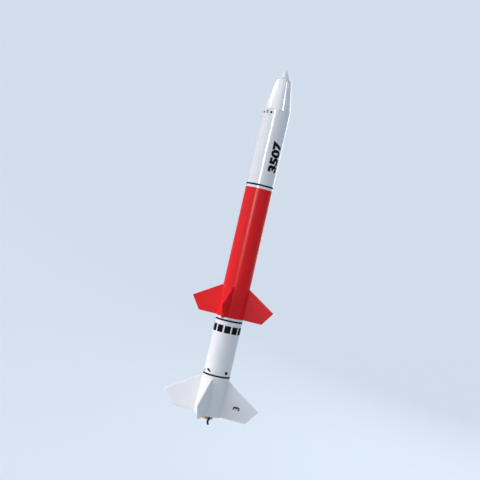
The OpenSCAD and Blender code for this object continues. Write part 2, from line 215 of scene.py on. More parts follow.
def guarded(profile, closed, margin=2.5e-4):
    """A profile with a point added `margin` from each end of its long sides, so that a long
    side shades straight up to its corners."""
    after = np.roll(profile, -1, 0)
    length = np.linalg.norm(after - profile, axis=1)
    long = length > 4 * margin
    if not closed:
        long[-1] = False
    step = (after - profile) * (margin / np.maximum(length, 1e-9))[:, None]
    kept = np.stack([np.full(len(profile), True), long, long], 1)
    return np.stack([profile, profile + step, after - step], 1)[kept]


def turned(profile, around=160, closed=False):
    """A profile of radius and height carried round the z axis. A closed profile is a loop,
    as of a tube's wall; an open one ends on the axis."""
    turn = np.linspace(0, 2 * np.pi, around, endpoint=False)
    profile = guarded(np.asarray(profile, float), closed)
    return shell(spun(profile[:, :1], turn, profile[:, 1:]), closed)


floor_z, floor_r, wall_r, wall_top = -0.42, 1.7, 3.6, 3.4
backdrop_shade = (0.57, 0.635, 0.71)

board = Finish("backdrop_board")
seen = board.node("LightPath", out="Is Camera Ray")
glow = board.node("Emission", {}, {"Color": (*backdrop_shade, 1),
                                   "Strength": 0.46 + 0.38 * seen})
matt = board.node("BsdfDiffuse", {}, {"Color": (0.30, 0.33, 0.37, 1)})
board.node("OutputMaterial", {}, {"Surface": board.node("AddShader", {}, {0: glow, 1: matt})},
           out=None)
bend = np.linspace(0, np.pi / 2, 24)
bowl = np.concatenate([
    [[0, floor_z]],
    np.stack([floor_r + (wall_r - floor_r) * np.sin(bend),
              floor_z + (wall_r - floor_r) * (1 - np.cos(bend))], -1),
    [[wall_r, wall_top]]])
backdrop = made("backdrop", [turned(bowl, 96)], board.material)

# ---------------------------------------------------------------------------------------
# Camera: level, a little to the +X side of the -Y direction, 1.4 m away and rolled, so
# that the rocket leans to the right as it climbs.
# ---------------------------------------------------------------------------------------


def aimed(name, data, right, up, back, place):
    """A camera or a lamp in the scene: its frame's three directions, and where it stands."""
    thing = placed(name, data)
    thing.matrix_world = Matrix([[*row] for row in np.vstack([
        np.stack([right, up, back, place], -1), [0, 0, 0, 1]])])
    return thing


camera_azimuth, camera_roll = math.radians(12.913), math.radians(12.908)
camera_distance, camera_height = 1.40026, 0.27946

away = np.array([math.sin(camera_azimuth), -math.cos(camera_azimuth), 0])
across = np.array([math.cos(camera_azimuth), math.sin(camera_azimuth), 0])
upright = np.array([0, 0, 1])
camera_right = math.cos(camera_roll) * across + math.sin(camera_roll) * upright
camera_up = -math.sin(camera_roll) * across + math.cos(camera_roll) * upright
camera_place = camera_distance * away + camera_height * upright
lens = bpy.data.cameras.new("camera")
lens.lens, lens.sensor_width = 68.65, 36
lens.shift_x, lens.shift_y = -0.0131, 0.0102
lens.clip_start, lens.clip_end = 0.01, 30
bpy.context.scene.camera = aimed("camera", lens, camera_right, camera_up, away, camera_place)
bpy.context.scene.view_settings.view_transform = "Standard"

# ---------------------------------------------------------------------------------------
# Lights: a broad soft panel on the left and another overhead, a small one for the tail, and
# a weak one behind. Four more only show in gloss: a strip that draws the long streak on the
# tube, a strip for the nose, and two wide panels that whiten the nose's left side and front.
# ---------------------------------------------------------------------------------------


def panel(name, turn, rise, distance, width, height, watts, aim_z, colour=(1, 1, 1),
          lights=True, glints=True, spread=180):
    """A rectangular light, `turn` degrees to the right of the camera's direction and `rise`
    degrees above level as seen from the point it is aimed at on the rocket's axis. `lights`
    says whether it lights surfaces, and `glints` whether it shows in gloss."""
    light = bpy.data.lights.new(name, "AREA")
    light.shape, light.size, light.size_y = "RECTANGLE", width, height
    light.energy, light.color, light.spread = watts, colour, math.radians(spread)
    turn, rise = math.radians(turn), math.radians(rise)
    out = ((away * math.cos(turn) + across * math.sin(turn)) * math.cos(rise)
           + upright * math.sin(rise))
    side = np.cross(upright, out) / np.linalg.norm(np.cross(upright, out))
    lamp = aimed(name, light, side, np.cross(out, side), out, aim_z * upright + distance * out)
    lamp.visible_camera = False
    lamp.visible_diffuse, lamp.visible_glossy = lights, glints


panel("key_panel", -69, 7, 3.0, 3.2, 2.2, 61, 0.20, (1.0, 0.89, 0.85), glints=False)
panel("top_panel", -48, 60, 4.0, 2.2, 2.2, 40, 0.28)
panel("tail_panel", -92, -5, 0.9, 0.3, 0.3, 0.38, -0.08, (1.0, 0.93, 0.90), glints=False,
      spread=50)
panel("streak_strip", -14.5, 0, 2.0, 0.29, 0.58, 34, 0.625, lights=False)
panel("nose_strip", 51, 28, 2.0, 0.20, 0.44, 20, 0.51, lights=False)
panel("nose_wash", -95, 31, 2.0, 2.0, 0.6, 34, 0.51, lights=False)
panel("nose_sheen", -18, 31, 2.2, 2.6, 0.6, 19, 0.51, lights=False)
panel("back_panel", 155, 18, 2.3, 1.4, 1.6, 16, 0.25)

room = bpy.data.worlds.new("room")
room.use_nodes = True
air = room.node_tree.nodes["Background"].inputs
air["Color"].default_value, air["Strength"].default_value = (0.62, 0.70, 0.82, 1), 0.35
bpy.context.scene.world = room

# ---------------------------------------------------------------------------------------
# Motor mount: a wound kraft tube that an 18 mm motor slides into, two card centring rings
# glued round it, a thrust ring in its forward end, and a black film band over the hook.
# ---------------------------------------------------------------------------------------


def dress(node, material):
    """A CAD node that stays as it is, in its own material."""
    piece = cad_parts[node]
    piece.data.materials.clear()
    piece.data.materials.append(material)


def round_angle(finish):
    """The angle round the z axis, from -0.5 to 0.5 turns."""
    return finish.node("Math", {"operation": "ARCTAN2"}, {0: finish.y, 1: finish.x}) \
        / (2 * math.pi)


def wound_seam(finish, pitch, width):
    """1 on the helical butt joint of a wound paper tube, 0 elsewhere: the joint climbs
    `pitch` metres a turn, and `width` is its width along the tube."""
    lift = (finish.z / pitch - round_angle(finish)) % 1.0
    return finish.step(abs(lift - 0.5), 0.5 - width / pitch, 0.5)


kraft = Finish("kraft_paper")
kraft_seam = wound_seam(kraft, 0.031, 0.0006)
kraft_fibre = kraft.noise(0.0011, 6, (1, 1, 0.25), 0.7)
kraft_blot = kraft.noise(0.009, 3)
kraft_brown = kraft.tint((0.36, 0.225, 0.115), (0.50, 0.34, 0.19),
                         kraft_fibre * 0.6 + kraft_blot * 0.4)
kraft.surface(kraft.tint(kraft_brown, (0.20, 0.12, 0.06), kraft_seam * 0.6),
              0.72 + 0.16 * kraft_fibre, kraft_fibre * 0.5 - kraft_seam, 6e-5)
dress("motor_tube", kraft.material)
dress("thrust_ring", kraft.material)

card = Finish("ring_card")
card_plies = card.noise(0.0007, 4, (40, 40, 0.6))
card_fleck = card.step(card.noise(0.0009, 3), 0.62, 0.70)
card_grey = card.tint((0.40, 0.33, 0.25), (0.52, 0.45, 0.36), card_plies)
card.surface(card.tint(card_grey, (0.22, 0.17, 0.12), card_fleck * 0.55),
             0.86, card_plies - card_fleck * 0.5, 5e-5)
dress("forward_centering_ring", card.material)
dress("aft_centering_ring", card.material)

band = Finish("band_film")
band_wrinkle = band.noise(0.004, 3, (1, 1, 3))
band.surface(band.tint((0.010, 0.010, 0.012), (0.022, 0.022, 0.024), band_wrinkle),
             0.22 + 0.2 * band_wrinkle, band_wrinkle, 6e-5)
dress("hook_retainer_band", band.material)

# ---------------------------------------------------------------------------------------
# Engine hook: one strip of blued spring steel, bent at both ends. Its forward tab goes
# through a slit in the motor tube, and its free end leans out below the tail as a finger tab.
# ---------------------------------------------------------------------------------------

hook_width, hook_gauge, hook_bend, hook_edge = 0.0032, 0.0008, 0.0008, 0.00016


def bearings(turn):
    """Level unit vectors for an angle round the z axis: straight out at it, and across."""
    c, s = np.cos(turn), np.sin(turn)
    return np.stack([c, s, 0 * s], -1), np.stack([-s, c, 0 * s], -1)


def eased(corners, radii, steps=6):
    """A path with its inner corners rounded: each corner gives way to a quadratic curve that
    starts and ends a radius away from it, or stays where its radius is 0."""
    corners = np.asarray(corners, float)
    share = np.linspace(0, 1, steps + 1)[:, None]
    runs = [corners[:1]]
    for before, corner, after, radius in zip(corners, corners[1:], corners[2:], radii):
        a = corner + radius * (before - corner) / np.linalg.norm(before - corner)
        b = corner + radius * (after - corner) / np.linalg.norm(after - corner)
        curve = (1 - share) ** 2 * a + 2 * share * (1 - share) * corner + share ** 2 * b
        runs.append(curve if radius else corner[None])
    return np.concatenate(runs + [corners[-1:]])


def carried(path, side, section):
    """A cross-section carried along a path of points (n, 3). Each section point (u, v) lies
    u along the unit vector `side` and v along side x tangent, and both ends are closed."""
    tangent = np.gradient(path, axis=0)
    tangent /= np.linalg.norm(tangent, axis=1, keepdims=True)
    side = np.broadcast_to(side, path.shape)
    lift = np.cross(side, tangent)
    rows = (path[:, None] + section[None, :, :1] * side[:, None]
            + section[None, :, 1:] * lift[:, None])
    ends = [np.repeat(end[None, None], len(section), 1) for end in (path[0], path[-1])]
    return shell(np.concatenate([ends[0], rows, ends[1]]))


def circle(angle):
    """Points of the unit circle, (cos, sin)."""
    return np.stack([np.cos(angle), np.sin(angle)], -1)


def strip_section(width, gauge, edge, steps=4):
    """The outline of a flat strip, width by gauge, its corners rounded by `edge`: a quarter
    circle about each of the four corner centres in turn."""
    corner = np.repeat([[1, 1], [-1, 1], [-1, -1], [1, -1]], steps, 0)
    angle = (np.linspace(0, 90, steps)[None] + np.arange(4)[:, None] * 90).reshape(-1)
    angle = np.radians(angle)
    middle = np.array([width / 2 - edge, gauge / 2 - edge])
    return corner * middle + edge * circle(angle)


hook_corners = [(0.00755, 0.0784), (0.00993, 0.0784), (0.00993, 0.0068), (0.0074, 0.0068),
                (0.0074, 0.0044), (0.01132, 0.00042)]
hook_line = eased(hook_corners, [hook_bend] * 4)
hook_out, hook_side = bearings(math.radians(-57))
steel = Finish("blued_steel")
steel_roll = steel.noise(0.0006, 4, (1, 1, 14))
steel_blot = steel.noise(0.005, 3)
steel_worn = steel.step(steel.noise(0.0016, 5), 0.60, 0.72) * steel.step(steel.z, 0.012, 0.004)
steel.surface(steel.tint(steel.tint((0.020, 0.021, 0.026), (0.045, 0.045, 0.052), steel_blot),
                         (0.28, 0.27, 0.26), steel_worn * 0.5),
              0.30 + 0.16 * steel_roll, steel_roll, 8e-6, Metallic=0.85)
hook = made("hook_strip", [carried(
    hook_line[:, :1] * hook_out + hook_line[:, 1:] * upright, hook_side,
    strip_section(hook_width, hook_gauge, hook_edge))], steel.material)
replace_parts(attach(hook, "hook"), "engine_hook")

# ---------------------------------------------------------------------------------------
# Motor: a thick wound paper casing with a pressed clay nozzle in its aft end. Behind the
# nozzle lie the propellant, the delay and the ejection charge under a paper cap.
# ---------------------------------------------------------------------------------------


def eased_loop(corners, radii, steps=6):
    """A closed outline with its corners eased. Its first point lies on a side, and stays."""
    return eased([*corners, corners[0]], radii, steps)[:-1]


def axis_distance(finish):
    """The distance from the z axis."""
    return finish.sum("SQRT", finish.x * finish.x + finish.y * finish.y)


casing_low, casing_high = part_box("motor_casing")
casing_r, casing_bore, casing_edge = casing_high.x, 0.0066, 0.00035
paper = Finish("motor_paper")
paper_seam = wound_seam(paper, 0.048, 0.0005)
paper_fibre = paper.noise(0.0008, 5, (1, 1, 0.4), 0.65)
paper_plies = paper.step(paper.sum("SINE", axis_distance(paper) * 21000), -0.2, 0.8)
casing_half = (casing_high.z - casing_low.z) / 2
end_cut = paper.step(abs(paper.z - (casing_low.z + casing_high.z) / 2),
                     casing_half - 4e-4, casing_half - 1e-4)
paper_tan = paper.tint((0.47, 0.35, 0.22), (0.60, 0.47, 0.32), paper_fibre)
paper.surface(paper.tint(paper.tint(paper_tan, (0.26, 0.18, 0.11), paper_seam * 0.7),
                         (0.30, 0.22, 0.14), end_cut * paper_plies * 0.6),
              0.62 + 0.2 * paper_fibre, paper_fibre * 0.4 - paper_seam + end_cut * paper_plies,
              5e-5)
casing = made("motor_casing_wall", [turned(eased_loop(
    [(casing_r - 0.001, casing_low.z), (casing_r, casing_low.z), (casing_r, casing_high.z),
     (casing_bore, casing_high.z), (casing_bore, casing_low.z)],
    [casing_edge] * 4), 96, closed=True)], paper.material)
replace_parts(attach(casing, "airframe"), "motor_casing")

nozzle_low, nozzle_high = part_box("motor_nozzle")
mouth_r, throat_r, cone_length = 0.0035, 0.0011, 0.0072
clay = Finish("nozzle_clay")
clay_grit = clay.noise(0.0006, 5, rough=0.7)
clay_blot = clay.noise(0.004, 3)
clay.surface(clay.tint((0.36, 0.33, 0.29), (0.52, 0.49, 0.44), clay_grit * 0.5 + clay_blot * 0.5),
             0.9, clay_grit, 9e-5)
nozzle = made("motor_nozzle_clay", [turned(eased_loop(
    [(0.005, nozzle_low.z), (nozzle_high.x, nozzle_low.z), (nozzle_high.x, nozzle_high.z),
     (throat_r, nozzle_high.z), (throat_r, nozzle_low.z + cone_length),
     (mouth_r, nozzle_low.z)],
    [3e-4, 3e-4, 2e-4, 1.2e-3, 3e-4]), 72, closed=True)], clay.material)
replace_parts(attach(nozzle, "airframe"), "motor_nozzle")


def grainy(name, dark, pale, size, detail, roughness, relief):
    """A plain matt material: grains of a size in metres, between two colours."""
    finish = Finish(name)
    grain = finish.noise(size, detail)
    return finish.surface(finish.tint(dark, pale, grain), roughness, grain, relief)


powder = grainy("black_powder", (0.015, 0.015, 0.016), (0.06, 0.058, 0.055), 0.0005, 4, 0.8, 8e-5)
dress("propellant_grain", powder)
dress("ejection_charge", powder)
dress("delay_charge", grainy("delay_powder", (0.10, 0.09, 0.075), (0.17, 0.15, 0.13),
                             0.0004, 3, 0.85, 5e-5))
dress("motor_end_cap", grainy("cap_paper", (0.66, 0.63, 0.56), (0.78, 0.75, 0.68),
                              0.0008, 5, 0.85, 5e-5))

# ---------------------------------------------------------------------------------------
# Body tube: a long spirally wound paper tube, filled, sprayed gloss white, then masked and
# sprayed red over its upper half. The bore is left as bare kraft paper.
# ---------------------------------------------------------------------------------------

tube_low, tube_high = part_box("body_tube")
tube_r, bore_r, tail_z, mouth_z = 0.0208, 0.02025, tube_low.z, tube_high.z
red_low, red_high = 0.1662, 0.3673
tube_lip, red_coat = 0.00018, 0.00003
gloss_white, gloss_red = (0.86, 0.865, 0.88), (0.85, 0.016, 0.019)


def sprayed(finish, colour, under, rough=0.16, shine=0.25):
    """Gloss paint: colour with a faint cloud of thinner cover, fine orange peel, a few dust
    nibs, and what lies under it (wood or paper) telegraphing through as low relief."""
    cloud = finish.noise(0.03, 3)
    peel = finish.noise(0.0019, 2, rough=0.4)
    nib = finish.step(finish.node("TexVoronoi", {}, {"Vector": finish.place, "Scale": 45.0}),
                      0.011, 0.006)
    relief = peel * 0.09 + nib * 0.9 + under
    shade = finish.tint(colour, finish.tint(colour, (0.02, 0.02, 0.02), 0.16), cloud * 0.35)
    return finish.coating(shade, rough + 0.07 * cloud + 0.10 * nib, relief, 2.4e-5,
                          Specular_IOR_Level=shine)


def sprayed_red(finish, under):
    """The red is a duller paint than the white."""
    return sprayed(finish, gloss_red, under, 0.24, 0.10)


tube_paint = Finish("painted_tube")
tube_seam = wound_seam(tube_paint, 0.071, 0.0011)
masked = tube_paint.step(abs(tube_paint.z - (red_low + red_high) / 2),
                         (red_high - red_low) / 2 + 5e-5, (red_high - red_low) / 2 - 5e-5)
tube_relief = 0.0 - 1.2 * tube_seam
tube_paint.finished(tube_paint.node("MixShader", {}, {
    0: masked, 1: sprayed(tube_paint, gloss_white, tube_relief),
    2: sprayed_red(tube_paint, tube_relief)}))

tube_wall = eased_loop(
    [(tube_r - 2e-4, tail_z), (tube_r, tail_z), (tube_r, red_low - 4e-5),
     (tube_r + red_coat, red_low + 4e-5), (tube_r + red_coat, red_high - 4e-5),
     (tube_r, red_high + 4e-5), (tube_r, mouth_z), (bore_r, mouth_z), (bore_r, tail_z)],
    [tube_lip, 0, 0, 0, 0, tube_lip, tube_lip, tube_lip])
tube = made("tube_wall", [turned(tube_wall, 256, closed=True)], tube_paint.material, 60)
tube.data.materials.append(kraft.material)
middles = np.zeros(len(tube.data.polygons) * 3)
tube.data.polygons.foreach_get("center", middles)
middles = middles.reshape(-1, 3)
tube.data.polygons.foreach_set(
    "material_index", (np.hypot(*middles.T[:2]) < bore_r + 1.2e-4).astype(np.int32))
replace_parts(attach(tube, "airframe"), "body_tube")

# ---------------------------------------------------------------------------------------
# Fins: four below and four above, cut from 2.4 mm balsa, their free edges sanded round,
# glued to the tube in line with each other and painted. A bead of glue fills each root.
# ---------------------------------------------------------------------------------------

fin_gauge, fin_sink, edge_round, bead, corner_round = 0.0024, 0.00035, 0.0010, 0.0016, 0.0011


def resampled(loop, spacing):
    """A closed loop with points added along its sides, at most `spacing` metres apart."""
    closed = np.vstack([loop, loop[:1]])
    parts = np.maximum(1, np.ceil(np.linalg.norm(np.diff(closed, axis=0), axis=1)
                                  / spacing)).astype(int)
    side = np.repeat(np.arange(len(loop)), parts)
    share = (np.arange(len(side)) - np.repeat(np.cumsum(parts) - parts, parts)) / parts[side]
    return closed[side] + share[:, None] * (closed[side + 1] - closed[side])


def inset(loop, depth):
    """A closed loop, counter-clockwise, moved inwards by a depth: each point goes along the
    mitre of the two sides that meet there."""
    ahead, behind = np.roll(loop, -1, 0) - loop, loop - np.roll(loop, 1, 0)
    a, b = (np.stack([-v[:, 1], v[:, 0]], -1) / np.linalg.norm(v, axis=1, keepdims=True)
            for v in (ahead, behind))
    return loop + depth[:, None] * (a + b) / (1 + (a * b).sum(1, keepdims=True))


def plate(loop, gauge, rounding):
    """A flat plate from its outline: both faces at +-gauge/2, and an edge that is half an
    ellipse, `rounding` deep at each point. Rings run from one face's middle to the other's."""
    tilt = np.radians(np.linspace(90, -90, 11))
    rings = [inset(loop, rounding * (1 - np.cos(b))) for b in tilt]
    middle = loop.mean(0)
    shrink = np.array([0, 0.4, 0.75, 0.97])[:, None, None]
    inner = middle + shrink * (rings[0] - middle)
    flat = np.concatenate([inner, np.stack(rings), inner[::-1]])
    height = np.concatenate([np.ones(4), np.sin(tilt), -np.ones(4)]) * gauge / 2
    return np.concatenate([flat, np.broadcast_to(height[:, None, None],
                                                 (*flat.shape[:2], 1))], -1)


def stood_out(grid, turn):
    """Points (radius, height, thickness) of a fin stood out from the tube at an angle."""
    out, beside = bearings(turn)
    return grid[..., :1] * out + grid[..., 1:2] * upright + grid[..., 2:] * beside


def fade(along):
    """A bead's fullness at shares of its length: 1 for most of it, and 0 at both ends."""
    return np.sqrt(np.clip(1 - (2 * along - 1) ** 8, 0, 1))


def capped(grid):
    """A grid whose first and last rows are each closed on their own middle."""
    caps = [np.repeat(row.mean(0)[None, None], grid.shape[1], 1) for row in (grid[0], grid[-1])]
    return np.concatenate([caps[0], grid, caps[1]])


def root_bead(low, high, hand):
    """The glue bead along a fin's root: a hollow quarter circle between the tube and the
    fin's face, whose radius fades to nothing at both ends."""
    along = np.linspace(0, 1, 40)[:, None]
    reach = bead * fade(along) + 1e-6
    bow = np.radians(np.linspace(180, 270, 8))[None]
    out = tube_r + reach * (1 + np.cos(bow))
    beside = fin_gauge / 2 + reach * (1 + np.sin(bow))
    fall = (tube_r - np.sqrt(tube_r ** 2 - beside ** 2)) * (2 - 2 * bow / np.pi + 1)
    out = out - fall - 4e-5
    out = np.concatenate([out, np.full_like(along, tube_r - 3e-4)], 1)
    beside = np.concatenate([beside, np.full_like(along, fin_gauge / 2 - 2e-4)], 1)
    height = low + (high - low) * along + 0 * out
    return capped(np.stack([out, height, hand * beside], -1))


def fin(name, corners, turn, material):
    """One fin: a rounded plate, sunk a little into the tube, with a bead on each side."""
    (root_r, low), tip, outer, (_, high) = corners
    sunk = root_r - fin_sink
    path = [(sunk, (low + high) / 2), (sunk, high), outer, tip, (sunk, low)]
    loop = resampled(eased_loop(path, [0, corner_round, corner_round, 0])[::-1], 0.004)
    free = np.clip((loop[:, 0] - root_r) / 0.001, 0.04, 1)
    shells = [plate(loop, fin_gauge, edge_round * free)]
    shells += [root_bead(low + 3e-4, high - 3e-4, hand) for hand in (1, -1)]
    return made(name, [shell(stood_out(grid, turn)) for grid in shells], material)


def balsa_relief(finish):
    """The wood's pores and growth lines, long along the leading edge, as they show through
    paint: noise on axes turned by the grain's slope in the plane of radius and height."""
    slope = math.radians(-32)
    out = axis_distance(finish)
    along = out * math.cos(slope) + finish.z * math.sin(slope)
    beyond = finish.z * math.cos(slope) - out * math.sin(slope)

    def streaks(per_length, per_width, **looks):
        where = finish.node("CombineXYZ", {}, {0: along * per_length, 1: beyond * per_width,
                                               2: round_angle(finish) * 40})
        return finish.node("TexNoise", {}, {"Vector": where, "Scale": 1.0, **looks})

    pores, rings = streaks(70, 1500, Detail=4.0, Roughness=0.6), streaks(25, 260, Detail=2.0)
    return pores * 0.9 + rings * 1.3


lower_corners = [(tube_r, 0.0140), (0.0595, 0.0140), (0.0760, 0.0366), (tube_r, 0.0718)]
upper_corners = [(tube_r, 0.1662), (0.0507, 0.1662), (0.0651, 0.1868), (tube_r, 0.2143)]
white_fin, red_fin = Finish("white_balsa"), Finish("red_balsa")
white_fin.finished(sprayed(white_fin, gloss_white, balsa_relief(white_fin)))
red_fin.finished(sprayed_red(red_fin, balsa_relief(red_fin)))
for number in range(4):
    turn = math.radians(-90 + 90 * number)
    for row, corners, paint, wood in (("lower", lower_corners, white_fin, "white_balsa"),
                                      ("upper", upper_corners, red_fin, "red_balsa")):
        blade = fin(f"{row}_fin_blade_{number + 1}", corners, turn, paint.material)
        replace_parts(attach(blade, "airframe"), f"{row}_fin_{number + 1}")

# ---------------------------------------------------------------------------------------
# Launch lug: a length of thin wound paper tube, glued along the body between two fins, with
# a bead of glue down each side, and painted over with the tube.
# ---------------------------------------------------------------------------------------

lug_out, lug_beside = bearings(math.radians(135))
lug_reach, lug_bead_high, lug_bead_wide = 0.02312, 0.0014, 0.0026
lug_bore, lug_r, lug_low, lug_high = 0.00198, 0.0023, 0.0800, 0.1403
lug_wall = eased_loop([(lug_r - 1e-4, lug_low), (lug_r, lug_low), (lug_r, lug_high),
                       (lug_bore, lug_high), (lug_bore, lug_low)], [9e-5] * 4, 3)
lug_points, lug_quads = turned(lug_wall, 48, closed=True)
lug_shells = [(lug_points + lug_reach * lug_out, lug_quads)]
for hand in (1, -1):
    along = np.linspace(0, 1, 30)[:, None]
    swell = fade(along)
    bow = np.linspace(0, 1, 7)[None]
    out = tube_r - 2.5e-4 + (lug_bead_high * bow ** 1.6) * swell
    beside = (lug_bead_wide - 0.0006 * bow ** 0.6) * swell + 0.0004 * (1 - swell)
    out = np.concatenate([out, np.full_like(along, tube_r - 3e-4)], 1)
    beside = np.concatenate([beside, np.full_like(along, 0.0003)], 1)
    height = lug_low + 5e-4 + (lug_high - lug_low - 1e-3) * along + 0 * out
    grid = (out[..., None] * lug_out + height[..., None] * upright
            + hand * beside[..., None] * lug_beside)
    lug_shells.append(shell(capped(grid)))
lug_paint = Finish("painted_lug")
lug_paint.finished(sprayed(lug_paint, gloss_white,
                           0.0 - wound_seam(lug_paint, 0.016, 0.0006)))
lug = made("launch_lug_tube", lug_shells, lug_paint.material)
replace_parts(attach(lug, "airframe"), "launch_lug")

# ---------------------------------------------------------------------------------------
# Markings: black vinyl film, cut and laid on the paint: two broad rings, a fine line, a
# belt of eleven windows, a plain four-figure number, and two rows of a few small marks.
# ---------------------------------------------------------------------------------------

film_r, film_gauge, outline_step, figure_cut = tube_r + 2.5e-5, 9e-5, 0.0006, 5e-4

vinyl = Finish("black_vinyl")
vinyl_pucker = vinyl.noise(0.006, 3)
vinyl.surface(vinyl.tint((0.0015, 0.0015, 0.002), (0.004, 0.004, 0.005), vinyl_pucker),
              0.42 + 0.14 * vinyl_pucker, vinyl_pucker + vinyl.noise(0.0012) * 0.3, 1.4e-5,
              Specular_IOR_Level=0.06)
grey_vinyl = Finish("grey_vinyl")
grey_pucker = grey_vinyl.noise(0.006, 3)
grey_vinyl.surface(grey_vinyl.tint((0.030, 0.031, 0.034), (0.05, 0.052, 0.056), grey_pucker),
                   0.42 + 0.1 * grey_pucker, grey_pucker, 1.4e-5, Specular_IOR_Level=0.06)


def points_of(mesh):
    """The points of a mesh as an array (n, 3)."""
    points = np.zeros(len(mesh.vertices) * 3)
    mesh.vertices.foreach_get("co", points)
    return points.reshape(-1, 3)


def wrapped(flat, radius):
    """Flat points (along the arc, height) bent round the tube: angle = arc / tube radius."""
    return spun(radius, flat[..., 0] / tube_r, flat[..., 1])


def patch(loop, inner=film_r, outer=film_r + film_gauge, rings=7):
    """A patch bent round the tube between two radii, of film where they aren't given: rings
    from the middle of its outer face to its edge, and back to the middle of its inner face."""
    middle, share = loop.mean(0), np.linspace(0, 1, rings)[:, None, None]
    flat = middle + share * (loop - middle)
    return shell(np.concatenate([wrapped(flat, outer), wrapped(flat[::-1], inner)]))


def moved(loop, turn, z):
    """An outline on the tube with its middle taken to an angle in degrees and a height."""
    return loop + [math.radians(turn) * tube_r, z]


def box_loop(turn, z, width, height, corner):
    """A rectangle with rounded corners, its middle at an angle in degrees and a height."""
    a, b = width / 2, height / 2
    path = eased_loop([(0, -b), (a, -b), (a, b), (-a, b), (-a, -b)], [corner] * 4)
    return moved(resampled(path, outline_step), turn, z)


def spot_loop(turn, z, radius):
    """A disc, its middle at an angle in degrees and a height."""
    return moved(radius * circle(np.radians(np.arange(0, 360, 15))), turn, z)


for name, node in (("upper_ring", "upper_ring_decal"), ("fine_line", "thin_line_decal"),
                   ("lower_ring", "lower_ring_decal")):
    low, high = (corner.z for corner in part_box(node))
    hoop = turned(np.array([(film_r, low), (film_r + film_gauge * 0.8, low),
                            (film_r + film_gauge, low + 5e-5), (film_r + film_gauge, high - 5e-5),
                            (film_r + film_gauge * 0.8, high), (film_r, high)]), 256, closed=True)
    ring = made(name + "_film", [hoop], vinyl.material, 60)
    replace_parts(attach(ring, "airframe"), node)

panes, first_pane, pane_sweep, pane_corner = 11, -74.5, math.radians(26), 5e-4
belt_low, belt_high = (corner.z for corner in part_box("window_belt_decal"))
belt = made("window_belt_film",
            [patch(box_loop(first_pane + 360 / panes * pane, (belt_low + belt_high) / 2,
                            pane_sweep * tube_r, belt_high - belt_low, pane_corner))
             for pane in range(panes)], vinyl.material, 60)
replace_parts(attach(belt, "airframe"), "window_belt_decal")


def figures(name, text, height, weight, length=None):
    """Plain block figures as a thin slab, in metres, reading along +x with their middle at
    the origin: `height` tall, `length` long where it is given, and cut every 0.5 mm across so
    that they can bend."""
    curve = bpy.data.curves.new(name, "FONT")
    curve.body, curve.offset, curve.extrude = text, weight, 0.01
    curve.align_x = curve.align_y = "CENTER"
    curve.resolution_u = 5
    letters = placed(name, curve)
    bpy.context.view_layer.update()
    mesh = bpy.data.meshes.new_from_object(
        letters.evaluated_get(bpy.context.evaluated_depsgraph_get()))
    bpy.data.objects.remove(letters)
    points = points_of(mesh)
    points[:, :2] -= (points[:, :2].max(0) + points[:, :2].min(0)) / 2
    points[:, :2] *= height / np.ptp(points[:, 1])
    if length:
        points[:, 0] *= length / np.ptp(points[:, 0])
    mesh.vertices.foreach_set("co", points.ravel())
    weld(mesh, 1e-6, np.arange(-height / 2 + figure_cut, height / 2, figure_cut))
    return mesh


def lay_on_tube(name, mesh, turn, z, material):
    """Figures bent on to the tube, reading up it, with their tops towards smaller angles."""
    points = points_of(mesh)
    flat = np.stack([math.radians(turn) * tube_r - points[:, 1], z + points[:, 0]], -1)
    mesh.vertices.foreach_set("co", wrapped(flat, film_r + film_gauge
                                            * (points[:, 2] > 0)).ravel())
    mesh.materials.clear()
    mesh.materials.append(material)
    mesh.shade_smooth()
    mesh.set_sharp_from_angle(angle=math.radians(60))
    return placed(name, mesh)


tube_figures = figures("tube_figures", "3507", height=0.0168, weight=0.055, length=0.0475)
number_turn, number_z = -37.6, 0.4185
number_film = lay_on_tube("tube_number_film", tube_figures, number_turn, number_z, vinyl.material)
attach(number_film, "airframe")

mark_up, mark_down = tail_z + 0.4692, tail_z + 0.0680
wedge = np.array([(-0.0027, -0.0016), (0.0027, -0.0016), (0, 0.0022)])
comma = eased_loop([(-0.0024, 0.0014), (-0.0020, -0.0010), (0.0040, -0.0030),
                    (0.0062, -0.0020), (0.0026, 0.0002), (0.0018, 0.0022)],
                   [1e-3, 9e-4, 8e-4, 1e-3, 1e-3])
black_marks = [patch(moved(resampled(wedge, outline_step), -138.6, mark_up)),
               patch(spot_loop(-99.5, mark_up, 0.0018)),
               patch(spot_loop(-141.5, mark_down - 0.0010, 0.0016)),
               patch(moved(comma, -120, mark_down + 0.0010)),
               patch(spot_loop(-35.4, mark_down + 0.0010, 0.0026))]
grey_marks = [patch(box_loop(-117.8, mark_up + rise, 0.0029, 0.0021, 3e-4))
              for rise in (-0.0008, 0.0020)]
for name, marks, material in (("black_marks_film", black_marks, vinyl.material),
                              ("grey_marks_film", grey_marks, grey_vinyl.material)):
    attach(made(name, marks, material, 60), "airframe")

figure_x, figure_z, film_lift = 0.042, 0.0335, 1e-5
fin_figure = figures("fin_figure", "3", height=0.0105, weight=0.03)
points = points_of(fin_figure)
fin_figure.vertices.foreach_set("co", np.stack([
    figure_x - points[:, 1], -fin_gauge / 2 - film_lift - film_gauge * (points[:, 2] > 0),
    figure_z + points[:, 0]], -1).ravel())
fin_figure.materials.clear()
fin_figure.materials.append(vinyl.material)
fin_film = placed("fin_number_film", fin_figure)
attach(fin_film, "airframe")

# ---------------------------------------------------------------------------------------
# Shock cord mount: a strip of heavy paper folded over three times on the end of the cord
# and glued to the inside of the tube.
# ---------------------------------------------------------------------------------------

